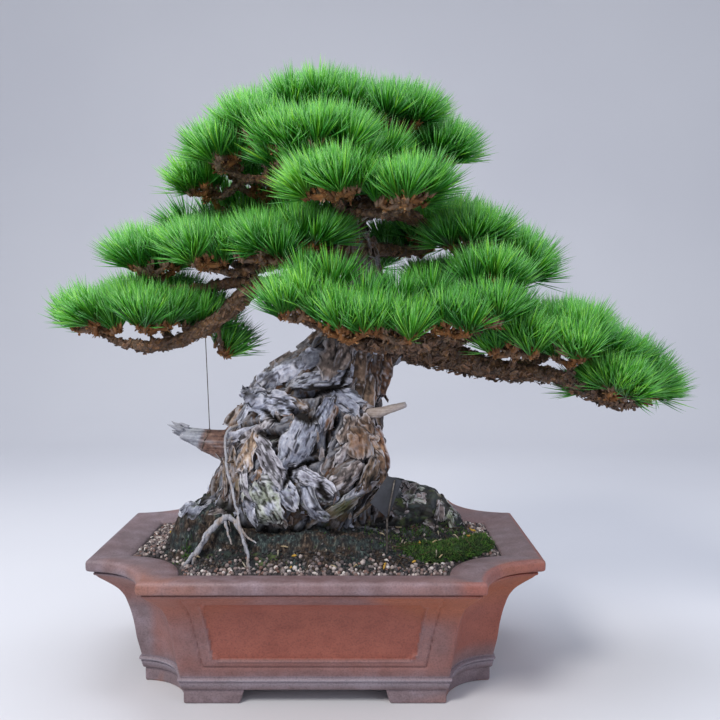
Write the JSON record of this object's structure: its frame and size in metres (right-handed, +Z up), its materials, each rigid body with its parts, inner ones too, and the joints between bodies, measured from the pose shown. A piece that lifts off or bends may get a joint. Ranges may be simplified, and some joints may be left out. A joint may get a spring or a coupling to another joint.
{
  "type": "bonsai tree in a pot",
  "caption": "Old pine bonsai with a thick leaning trunk, tiered branches of green needles and deadwood stubs, growing in a rectangular stoneware pot with notched corners and bracket feet.",
  "frame": {"origin": "middle of the whole object's box in plan, on the surface that the pot's feet stand on", "axes": "+X along the pot's long side towards the longest low branch, +Y towards the back, +Z up; the front of the tree faces -Y"},
  "size_m": [0.8776, 0.4142, 0.8064],
  "materials": {
    "pot_stoneware": "matte",
    "drain_screen": "matte",
    "soil_grit": "matte",
    "moss": "matte",
    "bark": "matte",
    "needles": "satin",
    "wire": "satin",
    "tag": "matte"
  },
  "bodies": {
    "root": {"pot": "pot_stoneware", "drain_screen_left": "drain_screen", "drain_screen_right": "drain_screen", "soil": "soil_grit", "moss": "moss", "tree": "bark", "needles_crown_top": "needles", "needles_crown_left": "needles", "needles_crown_right": "needles", "needles_crown_back": "needles", "needles_crown_front": "needles", "needles_crown_far_left": "needles", "needles_crown_low_left": "needles", "needles_crown_far_right": "needles", "needles_front_high_left": "needles", "needles_front_high_right": "needles", "needles_back_high": "needles", "needles_left_mid_end": "needles", "needles_left_mid_outer": "needles", "needles_left_mid_inner": "needles", "needles_left_mid_trunk": "needles", "needles_left_mid_back": "needles", "needles_left_low_end": "needles", "needles_left_low_mid": "needles", "needles_left_low_inner": "needles", "needles_left_low_back": "needles", "needles_left_low_tuft": "needles", "needles_right_mid_inner": "needles", "needles_right_mid_end": "needles", "needles_right_mid_back": "needles", "needles_right_front": "needles", "needles_right_low_inner": "needles", "needles_right_low_mid": "needles", "needles_right_low_end": "needles", "needles_right_low_tip": "needles", "needles_right_low_back": "needles", "needles_front_low_left": "needles", "needles_front_low_mid": "needles", "needles_front_low_right": "needles", "needles_front_low_far_right": "needles", "needles_back_mid": "needles", "needles_back_right": "needles", "tie_wire": "wire", "tag": "tag", "tag_stake": "wire"}
  },
  "joints": []
}
